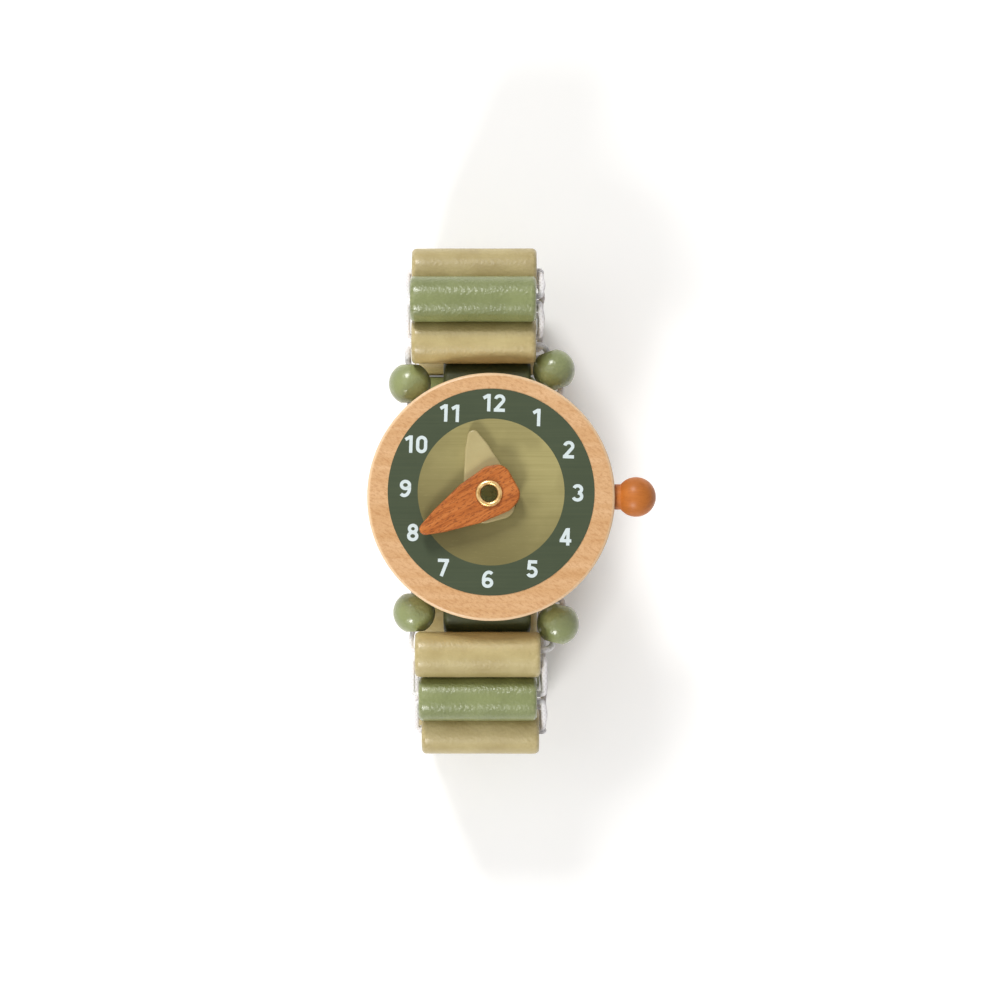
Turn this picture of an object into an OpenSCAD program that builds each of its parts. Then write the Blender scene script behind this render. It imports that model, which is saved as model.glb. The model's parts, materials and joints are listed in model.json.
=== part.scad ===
// Toy wrist watch: a beech face with two turning hands, on a strap of wooden tube beads
// that are laced side by side on white elastic. Lengths are in millimetres, angles in degrees.
// +X points to the crown, +Y to twelve o'clock and +Z out of the dial.
// The origin is on the hands' axis, in the plane of the back of the face.

/* [Face] */
// Diameter of the beech face
face_d = 36; // [34:0.5:38]
// Thickness of the beech face
face_t = 6; // [5.6:0.1:8]
// Rounding of the front edge
face_front_round = 0.5; // [0.2:0.1:1]
// Rounding of the back edge
face_back_round = 0.8; // [0.5:0.1:1.2]
// Set of the face's centre from the hands' axis, towards the crown
face_set_x = 0.3; // [0:0.1:0.6]
// Set of the face's centre from the hands' axis, away from twelve
face_set_y = 0.5; // [0:0.1:0.8]

/* [Dial paint] */
// Outer diameter of the dark number ring
dial_ring_d = 30; // [26:0.5:32]
// Diameter of the pale middle of the dial
dial_middle_d = 21.3; // [18:0.1:23]
// Thickness of the paint
paint_t = 0.08; // [0.05:0.01:0.15]
// Set of the painted rings from the hands' axis, towards twelve
dial_set_y = 0.2; // [0:0.1:0.5]

/* [Hands] */
// Thickness of each hand
hand_t = 1.2; // [0.8:0.1:1.6]
// Gap between the dial and a hand, between the hands, and under the rivet's lip
hand_gap = 0.12; // [0.08:0.01:0.2]
// Reach of the minute hand's tip from the axis
minute_reach = 11.4; // [10:0.1:13]
// Reach of the hour hand's tip from the axis
hour_reach = 9.5; // [8:0.1:11]
// Reach of the blunt end of a hand behind the axis
hand_tail = 4.1; // [3.6:0.05:5]
// Half of the greatest width of the minute hand
minute_half_w = 3.6; // [3.3:0.05:4]
// Half of the greatest width of the hour hand
hour_half_w = 3.55; // [3.2:0.05:4]
// Radius of a hand's tip
hand_tip_r = 0.88; // [0.6:0.02:1]
// Radius of the corners of a hand's blunt end
hand_corner_r = 2; // [1.7:0.1:2.3]
// Clockwise heading of the minute hand from twelve
minute_heading = 240.8; // [0:0.1:360]
// Clockwise heading of the hour hand from twelve
hour_heading = 344.8; // [0:0.1:360]

/* [Eyelet rivet] */
// Bore of the hollow brass rivet
eyelet_bore_d = 2.4; // [2:0.1:2.8]
// Wall of the rivet's barrel
eyelet_wall = 0.25; // [0.2:0.05:0.35]
// Diameter of the rolled lips at both ends
eyelet_lip_d = 3.95; // [3.6:0.05:4.2]
// Radial clearance of the hands on the barrel
hand_run_gap = 0.05; // [0.03:0.01:0.08]
// Diameter of the washer behind the face
washer_d = 5.4; // [5:0.1:7]
// Thickness of the washer behind the face
washer_t = 0.4; // [0.3:0.1:0.6]

/* [Crown] */
// Diameter of the ball of the crown
crown_d = 5.8; // [5:0.1:6]
// Diameter of the neck between ball and face
crown_neck_d = 3.7; // [3:0.1:4]
// Reach of the ball's centre from the edge of the face
crown_reach = 3.1; // [2.8:0.1:3.6]
// Diameter of the tenon glued into the face
crown_tenon_d = 2.6; // [2:0.1:2.8]
// Length of the tenon
crown_tenon_len = 4; // [3:0.5:6]

/* [Strap beads] */
// Diameter of the tube beads
bead_d = 6.7; // [6.5:0.05:7]
// Nominal length of the tube beads
bead_len = 18.2; // [17:0.1:20]
// Bore of the tube beads
bead_bore_d = 2.4; // [2.3:0.05:2.8]
// Rounding of the rims of the tube beads
bead_round = 0.7; // [0.4:0.1:0.9]
// Gap between neighbouring tube beads
bead_gap = 0.15; // [0.1:0.01:0.3]
// Set of the strap's middle from the face's centre, away from the crown
strap_set_x = 2.2; // [1.6:0.1:2.6]

/* [Lug bars] */
// Length of the two tube beads that carry the face
lug_len = 12.8; // [12.2:0.1:13]
// Inset of their axes from the edge of the face
lug_inset = 1.3; // [1:0.1:2]
// Depth of their cradles in the back of the face
lug_seat = 1; // [0.6:0.1:1.4]
// Set of the lug bars' middle from the face's centre, away from the crown
lug_set_x = 0.6; // [0.5:0.1:0.8]

/* [Ball beads] */
// Diameter of the four ball beads
ball_d = 6.2; // [5.8:0.05:6.3]
// Length of a ball bead along its bore
ball_len = 5.6; // [5.2:0.1:5.7]
// Bore of the ball beads
ball_bore_d = 2.3; // [2:0.1:2.6]

/* [Elastic] */
// Diameter of the elastic
cord_d = 0.9; // [0.8:0.02:0.92]
// Diameter of the knot in the lower lug bar
knot_d = 2.2; // [1.8:0.1:2.2]
// Length of the knot
knot_len = 2.6; // [2:0.1:3.4]

/* [Hidden] */
// Clearance of glued fits
fit_gap = 0.02;
// Overrun of cuts
over = 1;
// Facets of round shapes
round_fn = 96;
// Facets of each rounded rim
rim_steps = 6;
// Beads of the strap from the upper lug bar round to the lower one
bead_count = 19;
// Links of elastic, one more than the beads
link_count = bead_count + 1;

// Headings of the links of the upper side, from the lug bar outwards and down, level is 0
upper_headings = [27, 29, -51, -91, -98, -126];
// Headings of the links of the lower side, from the lug bar outwards and down
lower_headings = [22, -19, -42, -89, -112];
// Beads that lie flat between the two landing beads
flat_count = bead_count - len(upper_headings) - len(lower_headings) - 2;

// Length of each strap bead as a share of the nominal length
bead_len_shares = [1, 1.008, 1.004, 0.98, 0.99, 1.005, 0.97, 0.99, 1, 0.975, 0.985, 1.005, 0.98,
    0.99, 0.965, 0.94, 0.952, 0.954, 1.01];
// Side slip of each strap bead towards the crown as a share of the nominal length
bead_slip_shares = [-0.019, -0.023, -0.015, -0.012, -0.02, -0.008, 0.004, -0.01, 0.006, -0.004,
    0.01, -0.006, 0.008, 0.022, 0.004, 0.03, 0.033, 0.013, 0.013];

// Ball beads: side, end, reach beyond the lug bar in shares of ball_d, lift towards the strap
// in shares of bead_d, and tilt of the bore away from the strap's run
BALLS = ["ball_bead_upper_right", "ball_bead_upper_left", "ball_bead_lower_right",
    "ball_bead_lower_left"];
ball_sides = [1, -1, 1, -1];
ball_ends = [1, 1, -1, -1];
ball_reach_shares = [0.549, 0.797, 0.645, 0.694];
ball_lift_shares = [0.283, -0.012, 0.284, 0.035];
ball_tilts = [20, 0, 14, 3];
ball_rise_share = 0.1;

face_r = face_d / 2;
bead_r = bead_d / 2;
cord_r = cord_d / 2;
pitch = bead_d + bead_gap;
lug_y = face_r - lug_inset;
lug_z = lug_seat - bead_r;
barrel_r = eyelet_bore_d / 2 + eyelet_wall;
hour_z = face_t + paint_t + hand_gap;
minute_z = hour_z + hand_t + hand_gap;
lip_z = minute_z + hand_t + hand_gap;
crown_z = face_t / 2;
// Distance of a strand from the axis of the bore that two strands share
strand_share = 0.73;
strand_r = strand_share * cord_d;
// Radius of the elastic's bends where it leaves a bore
bend_share = 0.6;
bend_r = bend_share * cord_d;
// Reach of the loops past the bead ends
loop_share = 0.65;
loop_reach = loop_share * cord_d;
// Reach of the elastic round a ball bead and past its ends
hug_share = 0.65;
hug_reach = ball_d / 2 + hug_share * cord_d;
turn_share = 0.8;
turn_reach = ball_len / 2 + turn_share * cord_d;
// Stations of the elastic on its way round a ball bead, from the lug bar to the ball's bore
hug_stations = [0.1, 0.4, 0.7];
// Slip of the elastic from the middle of the lug bar's mouth
mouth_slip_share = 0.4;
mouth_slip = mouth_slip_share * (bead_bore_d - cord_d);

beech = [0.89, 0.71, 0.54];
khaki = [0.74, 0.68, 0.5];
sage = [0.56, 0.6, 0.42];
orange = [0.8, 0.5, 0.28];
forest = [0.34, 0.36, 0.3];
olive = [0.62, 0.58, 0.39];
brass = [0.8, 0.64, 0.38];
white = [0.93, 0.92, 0.9];

function two_digits(i) = str(i < 10 ? "0" : "", i);
function bead_name(i) = str("strap_bead_", two_digits(i));
function link_name(i) = str("elastic_link_", two_digits(i));

// The strap's run is worked out in its own plane: the first number is the way out from the
// face's centre and the second the height above the lug bars' axes.
function heading_step(angle) = pitch * [cos(angle), sin(angle)];
function side_place(headings, n) = n == 0
    ? [lug_y, 0]
    : side_place(headings, n - 1) + heading_step(headings[n - 1]);
// Place where a side comes down to the flat run
function landing(headings, drop) = let (
    last = side_place(headings, len(headings)),
    fall = last[1] + drop)
    [last[0] - sqrt(max(0, pitch * pitch - fall * fall)), -drop];
// Spacing that the flat run needs at a given drop
function flat_spacing(drop) = (landing(upper_headings, drop)[0] + landing(lower_headings, drop)[0])
    / (flat_count + 1);
// Drop at which the flat run closes with the same spacing as the rest
function closing_drop(low, high, tries) = let (middle = (low + high) / 2) tries == 0
    ? middle
    : flat_spacing(middle) > pitch
        ? closing_drop(low, middle, tries - 1)
        : closing_drop(middle, high, tries - 1);

lowest_side = max(-side_place(upper_headings, len(upper_headings))[1],
    -side_place(lower_headings, len(lower_headings))[1]);
strap_drop = closing_drop(lowest_side, lowest_side + pitch, 30);
upper_end = landing(upper_headings, strap_drop);
lower_end = landing(lower_headings, strap_drop);
flat_step = (upper_end[0] + lower_end[0]) / (flat_count + 1);

// Centre of each bead in the YZ plane, from the face's centre and the lug bars' height:
// 0 is the upper lug bar, then the strap beads, and the last is the lower lug bar
bead_yz = concat(
    [for (i = [0 : len(upper_headings)]) side_place(upper_headings, i)],
    [for (i = [0 : flat_count + 1]) [upper_end[0] - i * flat_step, -strap_drop]],
    [for (i = [len(lower_headings) : -1 : 0]) let (p = side_place(lower_headings, i)) [-p[0], p[1]]]);

function is_lug(i) = i == 0 || i == link_count;
function place_len(i) = is_lug(i) ? lug_len : bead_len * bead_len_shares[i - 1];
function place_x(i) = face_set_x
    + (is_lug(i) ? -lug_set_x : -strap_set_x + bead_len * bead_slip_shares[i - 1]);
function place(i) = [place_x(i), bead_yz[i][0] - face_set_y, bead_yz[i][1] + lug_z];
// Way from bead i to the next one
function link_way(i) = unit(place_yz(i + 1) - place_yz(i));
function place_yz(i) = [0, bead_yz[i][0], bead_yz[i][1]];
function unit(v) = v / norm(v);
// Way across the strap's run at bead i, towards the outside of the loop
function across(i) = unit(cross(unit(link_way(i - 1) + link_way(i)), [1, 0, 0]));
// X of the mouth of a bore on one side of the strap
function mouth_x(i, side) = place_x(i) + side * place_len(i) / 2;

// Rings of a tube along a path, each square to the path there. The two ends lie in bores,
// where they meet the next run of elastic squarely.
function path_way(path, i) = i == 0
    ? [sign(path[1][0] - path[0][0]), 0, 0]
    : i == len(path) - 1
        ? [sign(path[i][0] - path[i - 1][0]), 0, 0]
        : unit(unit(path[i] - path[i - 1]) + unit(path[i + 1] - path[i]));
function ring(centre, way, up, sides) = let (
    u = unit(cross(way, up)),
    v = cross(u, way))
    [for (k = [0 : sides - 1]) let (a = 360 * k / sides) centre + cord_r * (cos(a) * u + sin(a) * v)];

// Run with its corners cut, and its ends kept
function softened(points) = let (last = len(points) - 1) concat(
    [points[0]],
    [for (i = [0 : last - 1]) each [
        0.75 * points[i] + 0.25 * points[i + 1], 0.25 * points[i] + 0.75 * points[i + 1]]],
    [points[last]]);

module tube(path, up, sides = 8) {
    last = len(path) - 1;
    points = [for (i = [0 : last]) each ring(path[i], path_way(path, i), up, sides)];
    start_cap = [for (k = [1 : sides - 2]) [0, k + 1, k]];
    end_cap = [for (k = [1 : sides - 2]) [last, last, last] * sides + [0, k, k + 1]];
    walls = [
        for (i = [0 : last - 1], k = [0 : sides - 1])
            let (a = i * sides + k, b = i * sides + (k + 1) % sides)
                each [[a, b, a + sides], [b, b + sides, a + sides]]
    ];
    polyhedron(points = points, faces = concat(start_cap, end_cap, walls));
}

// Outline of convex arcs round circles given as [x, y, r], counterclockwise
function tangent_angle(a, b) = atan2(b[1] - a[1], b[0] - a[0])
    - acos((a[2] - b[2]) / norm([b[0] - a[0], b[1] - a[1]]));
function turned(angle, from) = angle < from ? turned(angle + 360, from) : angle;
function arc_outline(circles, steps) = [
    for (i = [0 : len(circles) - 1])
        let (c = circles[i],
            before = circles[(i + len(circles) - 1) % len(circles)],
            after = circles[(i + 1) % len(circles)],
            start = tangent_angle(before, c),
            stop = turned(tangent_angle(c, after), start))
        for (k = [0 : steps]) let (a = start + (stop - start) * k / steps)
            [c[0] + c[2] * cos(a), c[1] + c[2] * sin(a)]
];

// Half-section of a turned piece with rounded rims, between two radii and two heights
function rim_arc(r, z, size, from) = [
    for (k = [0 : rim_steps]) let (a = from + 90 * k / rim_steps) [r + size * cos(a), z + size * sin(a)]
];
function rounded_section(inner, outer, low, high, low_round, high_round) = concat(
    [[inner, low]],
    rim_arc(outer - low_round, low + low_round, low_round, -90),
    rim_arc(outer - high_round, high - high_round, high_round, 0),
    [[inner, high]]);

// Shares of a hand's outline: places, reaches and radii of its flank, waist and shoulder
hand_flank_share = 0.7;
hand_flank_reach_share = 0.5;
hand_flank_r_share = 0.3;
hand_waist_share = 0.24;
hand_waist_reach_share = 0.88;
hand_waist_r_share = 0.6;
hand_shoulder_share = 0.3;
hand_shoulder_r_share = 0.63;
hand_corner_reach_share = 0.92;

function hand_outline(reach, half_w) = let (
    corner_x = hand_corner_r - hand_tail,
    corner_y = hand_corner_reach_share * half_w - hand_corner_r,
    shoulder_x = -hand_shoulder_share * hand_tail,
    shoulder_r = hand_shoulder_r_share * half_w,
    shoulder_y = half_w - shoulder_r,
    waist_x = hand_waist_share * reach,
    waist_r = hand_waist_r_share * half_w,
    waist_y = hand_waist_reach_share * half_w - waist_r,
    flank_x = hand_flank_share * reach,
    flank_r = hand_flank_r_share * half_w,
    flank_y = hand_flank_reach_share * half_w - flank_r)
    arc_outline([[reach - hand_tip_r, 0, hand_tip_r],
        [flank_x, flank_y, flank_r], [waist_x, waist_y, waist_r],
        [shoulder_x, shoulder_y, shoulder_r], [corner_x, corner_y, hand_corner_r],
        [corner_x, -corner_y, hand_corner_r], [shoulder_x, -shoulder_y, shoulder_r],
        [waist_x, -waist_y, waist_r], [flank_x, -flank_y, flank_r]], rim_steps);

module at_face_centre() {
    translate([face_set_x, -face_set_y, 0]) children();
}

module along_x() {
    rotate([0, 90, 0]) children();
}

// Body of a tube bead, its bore along X and its middle at the origin
module tube_bead(length) {
    along_x() rotate_extrude($fn = round_fn)
        polygon(rounded_section(bead_bore_d / 2, bead_r, -length / 2, length / 2,
            bead_round, bead_round));
}

// Turned beech disc with cradles for the lug bars, a hole for the rivet and one for the crown
module beech_face() {
    color(beech) difference() {
        at_face_centre() rotate_extrude($fn = round_fn)
            polygon(rounded_section(0, face_r, 0, face_t, face_back_round, face_front_round));
        for (i = [0, link_count])
            translate(place(i)) along_x()
                cylinder(r = bead_r + fit_gap, h = lug_len + 2 * fit_gap, center = true, $fn = round_fn);
        translate([0, 0, -over])
            cylinder(r = barrel_r + fit_gap, h = face_t + 2 * over, $fn = round_fn);
        at_face_centre() translate([face_r - crown_tenon_len - fit_gap, 0, crown_z]) along_x()
            cylinder(d = crown_tenon_d + 2 * fit_gap, h = crown_tenon_len + over, $fn = round_fn);
    }
}

// Layer of paint on the dial, round a hole that is set from its middle
module paint_layer(outer_d, hole_d, hole_set) {
    translate([face_set_x, dial_set_y, face_t]) linear_extrude(paint_t) difference() {
        circle(d = outer_d, $fn = round_fn);
        translate(hole_set) circle(d = hole_d, $fn = round_fn);
    }
}

// Dark ring that carries the numbers
module dial_ring_paint() {
    color(forest) paint_layer(dial_ring_d, dial_middle_d, [0, 0]);
}

// Pale middle of the dial, round the rivet
module dial_middle_paint() {
    color(olive) paint_layer(dial_middle_d, 2 * (barrel_r + fit_gap), [-face_set_x, -dial_set_y]);
}

module hand(outline, heading, z) {
    translate([0, 0, z]) rotate([0, 0, 90 - heading]) difference() {
        linear_extrude(hand_t) polygon(outline);
        translate([0, 0, -over])
            cylinder(r = barrel_r + hand_run_gap, h = hand_t + 2 * over, $fn = round_fn);
    }
}

module hour_hand() {
    color(khaki) hand(hand_outline(hour_reach, hour_half_w), hour_heading, hour_z);
}

module minute_hand() {
    color(orange) hand(hand_outline(minute_reach, minute_half_w), minute_heading, minute_z);
}

// Hollow rivet with a half-round lip over the minute hand and another under the washer
module eyelet_rivet() {
    lip_round = (eyelet_lip_d - eyelet_bore_d) / 4;
    lip_middle = eyelet_bore_d / 2 + lip_round;
    front_lip = [for (k = [0 : 2 * rim_steps]) let (a = 90 * k / rim_steps)
        [lip_middle + lip_round * cos(a), lip_z + lip_round * sin(a)]];
    back_lip = [for (k = [0 : 2 * rim_steps]) let (a = 180 + 90 * k / rim_steps)
        [lip_middle + lip_round * cos(a), -washer_t + lip_round * sin(a)]];
    color(brass) rotate_extrude($fn = round_fn)
        polygon(concat(front_lip, back_lip, [[barrel_r, -washer_t], [barrel_r, lip_z]]));
}

module back_washer() {
    color(brass) translate([0, 0, -washer_t]) difference() {
        cylinder(d = washer_d, h = washer_t, $fn = round_fn);
        translate([0, 0, -over])
            cylinder(r = barrel_r + fit_gap, h = washer_t + 2 * over, $fn = round_fn);
    }
}

// Turned ball with a neck and a tenon that is glued into the edge of the face
module crown() {
    color(orange) at_face_centre() translate([face_r, 0, crown_z]) along_x() union() {
        translate([0, 0, crown_reach]) sphere(d = crown_d, $fn = round_fn);
        translate([0, 0, fit_gap]) cylinder(d = crown_neck_d, h = crown_reach, $fn = round_fn);
        translate([0, 0, -crown_tenon_len])
            cylinder(d = crown_tenon_d, h = crown_tenon_len + crown_reach, $fn = round_fn);
    }
}

module lug_bar_upper() {
    color(sage) translate(place(0)) tube_bead(lug_len);
}

module lug_bar_lower() {
    color(sage) translate(place(link_count)) tube_bead(lug_len);
}

module strap_bead(i) {
    color(i % 2 == 1 ? khaki : sage) translate(place(i)) tube_bead(place_len(i));
}

// Lug bar and first strap bead that a ball bead lies between
function ball_lug(b) = ball_ends[b] > 0 ? 0 : link_count;
function ball_strap(b) = ball_ends[b] > 0 ? 1 : bead_count;
function ball_place(b) = place(ball_lug(b)) + [
    ball_sides[b] * (lug_len / 2 + ball_reach_shares[b] * ball_d),
    ball_ends[b] * ball_lift_shares[b] * bead_d,
    ball_rise_share * ball_d];
// Way of a ball's bore, out towards the strap
function ball_way(b) = [-ball_sides[b] * sin(ball_tilts[b]), ball_ends[b] * cos(ball_tilts[b]), 0];

// Ball cut flat where its bore comes out
module ball_bead(b) {
    color(sage) translate(ball_place(b)) rotate([0, 0, ball_sides[b] * ball_ends[b] * ball_tilts[b]])
        rotate([90, 0, 0]) difference() {
            intersection() {
                sphere(d = ball_d, $fn = round_fn);
                cylinder(d = ball_d, h = ball_len, center = true, $fn = round_fn);
            }
            cylinder(d = ball_bore_d, h = ball_len + 2 * over, center = true, $fn = round_fn);
        }
}

// Points of a strand from the middle of a bead's bore to its mouth: it turns a quarter round
// the other strand on its way, so that the two strands cross inside the bead
function bore_strand(i, side, from_way, to_way) = [
    for (k = [0 : 2]) let (a = 45 * k, w = unit(cos(a) * from_way + sin(a) * to_way))
        [place_x(i) + (mouth_x(i, side) - side * bend_r - place_x(i)) * k / 2, place(i)[1], place(i)[2]]
            + strand_r * w
];

// Loop of elastic on one side of the strap, from the middle of bead i to the middle of the next
module side_loop(i, side) {
    way = link_way(i);
    run_x = side > 0
        ? max(mouth_x(i, 1), mouth_x(i + 1, 1)) + loop_reach
        : min(mouth_x(i, -1), mouth_x(i + 1, -1)) - loop_reach;
    start = [run_x, place(i)[1], place(i)[2]] + strand_r * way;
    stop = [run_x, place(i + 1)[1], place(i + 1)[2]] - strand_r * way;
    out = [side, 0, 0];
    first_bend = [for (a = [0 : 30 : 90]) start + bend_r * ((sin(a) - 1) * out + (1 - cos(a)) * way)];
    last_bend = [for (a = [90 : -30 : 0]) stop + bend_r * ((sin(a) - 1) * out - (1 - cos(a)) * way)];
    tube(concat(
        bore_strand(i, side, side * across(i), way),
        first_bend,
        last_bend,
        reversed(bore_strand(i + 1, side, -side * across(i + 1), -way))),
        cross(out, way));
}

function reversed(list) = [for (k = [len(list) - 1 : -1 : 0]) list[k]];

module elastic_link(i) {
    color(white) for (side = [-1, 1]) side_loop(i, side);
}

// Place beside a ball bead: at station 0 it faces the lug bar's mouth, and at 1 the ball's own
// inner mouth
function beside_ball(b, from, station) = ball_place(b)
    + hug_reach * unit((1 - station) * unit(from - ball_place(b)) - station * ball_way(b));

// Run of the elastic out of a lug bar, round and through a ball bead and on to the mouth of
// the first strap bead
function lug_run(b) = let (
    out = [ball_sides[b], 0, 0],
    lug = ball_lug(b),
    bead = ball_strap(b),
    mouth = [mouth_x(lug, ball_sides[b]), place(lug)[1] - ball_ends[b] * mouth_slip, place(lug)[2]],
    loop = [mouth_x(bead, ball_sides[b]), place(bead)[1], place(bead)[2]]
        - strand_r * strap_way(bead) + loop_reach * out,
    turn = ball_place(b) + turn_reach * ball_way(b),
    turn_x = ball_sides[b] * max(ball_sides[b] * turn[0], ball_sides[b] * loop[0]))
    concat(
        [[mouth[0] - cord_d * ball_sides[b], place(lug)[1], place(lug)[2]], mouth],
        [for (s = hug_stations) beside_ball(b, mouth, s)],
        [for (s = [-1, -0.5, 0.5]) ball_place(b) + s * turn_reach * ball_way(b)],
        [[turn_x, turn[1], turn[2]], loop]);

// Way from a lug bar to its neighbouring strap bead
function strap_way(bead) = bead == 1 ? link_way(0) : -link_way(bead_count);

// The first strap bead's own strand, from its mouth to its middle
function strand_end(b) = let (
    bead = ball_strap(b),
    turn = bead == 1 ? -ball_sides[b] : ball_sides[b])
    reversed(bore_strand(bead, ball_sides[b], turn * across(bead), -strap_way(bead)));

// Elastic at the upper lug bar: one run from the first strap bead through both ball beads
module upper_lug_link() {
    run = concat(reversed(concat(lug_run(0), strand_end(0))), lug_run(1), strand_end(1));
    color(white) tube(softened(run), [0, 0, 1]);
}

// Elastic at the lower lug bar: two runs, tied together in the knot
module lower_lug_link() {
    color(white) for (b = [2, 3]) {
        start = place(link_count) + [ball_sides[b] * knot_len / 2, 0, 0];
        tube(softened(concat([start], lug_run(b), strand_end(b))), [0, 0, 1]);
    }
}

module elastic_knot() {
    knot_round = knot_d / 4;
    color(white) translate(place(link_count)) along_x() rotate_extrude($fn = round_fn)
        polygon(rounded_section(0, knot_d / 2, -knot_len / 2, knot_len / 2, knot_round, knot_round));
}

beech_face();
dial_ring_paint();
dial_middle_paint();
hour_hand();
minute_hand();
eyelet_rivet();
back_washer();
crown();
lug_bar_upper();
lug_bar_lower();
for (b = [0 : len(BALLS) - 1]) ball_bead(b);
for (i = [1 : bead_count]) strap_bead(i);
for (i = [1 : bead_count - 1]) elastic_link(i);
upper_lug_link();
lower_lug_link();
elastic_knot();
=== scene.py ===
"""Wooden toy wrist watch: the looks of its beads, dial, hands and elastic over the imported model."""

from __future__ import annotations

import json
import logging
import math
import random
from dataclasses import dataclass, field
from enum import Enum
from functools import cached_property
from typing import Iterable, Sequence

import bmesh
import bpy
from mathutils import Matrix, Vector
from mathutils.geometry import delaunay_2d_cdt


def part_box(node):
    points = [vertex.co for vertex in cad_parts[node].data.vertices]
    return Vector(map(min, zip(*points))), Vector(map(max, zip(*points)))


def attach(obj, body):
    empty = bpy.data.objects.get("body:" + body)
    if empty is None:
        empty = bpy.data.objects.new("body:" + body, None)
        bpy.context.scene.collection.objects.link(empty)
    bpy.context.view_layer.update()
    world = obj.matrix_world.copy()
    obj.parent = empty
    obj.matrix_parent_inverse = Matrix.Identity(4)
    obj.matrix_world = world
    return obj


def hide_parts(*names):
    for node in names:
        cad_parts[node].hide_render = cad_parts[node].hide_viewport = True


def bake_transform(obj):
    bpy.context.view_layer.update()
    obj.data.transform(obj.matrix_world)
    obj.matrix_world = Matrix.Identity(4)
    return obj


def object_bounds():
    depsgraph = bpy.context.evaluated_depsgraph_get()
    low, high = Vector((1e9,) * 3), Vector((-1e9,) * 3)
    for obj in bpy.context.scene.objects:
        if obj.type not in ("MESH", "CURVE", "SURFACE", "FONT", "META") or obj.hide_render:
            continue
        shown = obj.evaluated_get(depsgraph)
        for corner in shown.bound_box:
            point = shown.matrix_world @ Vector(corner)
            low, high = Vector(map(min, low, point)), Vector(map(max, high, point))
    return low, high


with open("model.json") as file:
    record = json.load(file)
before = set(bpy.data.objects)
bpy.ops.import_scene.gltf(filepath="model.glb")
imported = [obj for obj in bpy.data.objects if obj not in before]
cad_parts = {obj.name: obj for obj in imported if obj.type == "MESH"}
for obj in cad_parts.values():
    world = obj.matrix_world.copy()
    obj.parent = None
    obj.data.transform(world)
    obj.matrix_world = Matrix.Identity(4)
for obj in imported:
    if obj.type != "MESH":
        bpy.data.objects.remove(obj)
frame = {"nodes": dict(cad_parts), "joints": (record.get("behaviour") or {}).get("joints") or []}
cad_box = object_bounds()

log = logging.getLogger("toy_watch")

MM = 0.001
# Lengths in metres that differ by less than this are taken as equal.
CLOSE = 1e-5
X_WAY = Vector((1.0, 0.0, 0.0))
Z_WAY = Vector((0.0, 0.0, 1.0))
ROOT = "watch_face"
BEAD_COUNT = 19
# The link between beads 10 and 11, where the chains from both ends of the face meet.
OPEN_LINK = 10
# Diameter of the elastic, and the ball beads' radius and reach to a mouth of the bore.
CORD = 0.9 * MM
BALL_RADIUS = 3.1 * MM
BALL_MOUTH = 2.8 * MM
# Clockwise from twelve, in degrees.
HOUR_HEADING = 344.8
MINUTE_HEADING = 240.8
# The braid: threads each way round the elastic, and their crossings to the millimetre.
BRAID_CARRIERS = 4
BRAID_LAY = 1.15

Shape = bmesh.types.BMesh
Material = bpy.types.Material
Piece = bpy.types.Object
Socket = bpy.types.NodeSocket
Colour = tuple[float, float, float]


def srgb(red: int, green: int, blue: int) -> Colour:
    """Turns a colour as it looks on a screen into the linear colour of a shader.

    Args:
        red: Red from 0 to 255.
        green: Green from 0 to 255.
        blue: Blue from 0 to 255.

    Returns:
        The linear colour.
    """

    def linear(value: int) -> float:
        """One channel made linear."""
        share = value / 255
        return share / 12.92 if share <= 0.04045 else ((share + 0.055) / 1.055) ** 2.4

    return linear(red), linear(green), linear(blue)


class PaintColour(Enum):
    """The paints of the beads: sage is painted lighter on the balls as painted light, and darker on
    the bars as painted shade.
    """

    KHAKI = "khaki_wood"
    SAGE = "sage_wood"
    # painted light: the balls get a lighter copy of the sage paint
    BALL = "sage_wood_of_balls_painted_light"
    # painted shade: the lug bars get a dark copy of the sage paint
    DEEP = "sage_wood_of_bars_painted_shade"


class NodeDesk:
    """A node tree, with short ways to add to it."""

    def __init__(self, tree: bpy.types.NodeTree) -> None:
        """Takes the tree in hand."""
        self.tree = tree

    def put(self, kind: str, inputs: dict[str | int, object] | None = None,
            **settings: object) -> bpy.types.Node:
        """Adds a node.

        Args:
            kind: The node's type name.
            inputs: Values or sockets for its inputs.
            settings: Properties of the node itself.

        Returns:
            The node.
        """
        node = self.tree.nodes.new(kind)
        for key, value in settings.items():
            setattr(node, key, value)
        for key, value in (inputs or {}).items():
            self.feed(node, key, value)
        return node

    def feed(self, node: bpy.types.Node, key: str | int, value: object) -> None:
        """Gives a node's input a socket or a value.

        Args:
            node: The node.
            key: The input's name or number.
            value: A socket to link, or the value itself.
        """
        if isinstance(value, Socket):
            self.tree.links.new(value, node.inputs[key])
        elif isinstance(value, tuple) and len(value) == 3 and node.inputs[key].type == "RGBA":
            node.inputs[key].default_value = (*value, 1.0)
        else:
            node.inputs[key].default_value = value

    def band(self, factor: Socket, low: float, high: float,
             to_low: Socket | float = 0.0, to_high: float = 1.0) -> Socket:
        """Stretches a band of a factor to a new range and clamps it there."""
        return self.put("ShaderNodeMapRange", {
            "Value": factor, "From Min": low, "From Max": high,
            "To Min": to_low, "To Max": to_high}).outputs[0]

    def sums(self, way: str, first: Socket | float, second: Socket | float = 0.0) -> Socket:
        """Does arithmetic on two values, with an operation of the Math node."""
        return self.put("ShaderNodeMath", {0: first, 1: second}, operation=way).outputs[0]

    def seen_ray(self) -> Socket:
        """Marks the rays that see the pale studio: the camera's and those off or through a surface.

        Returns:
            A socket that is 1 on such a ray and 0 on the others.
        """
        path = self.put("ShaderNodeLightPath").outputs
        bent = self.sums("MAXIMUM", path["Is Glossy Ray"], path["Is Transmission Ray"])
        return self.sums("MAXIMUM", path["Is Camera Ray"], bent)


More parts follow.
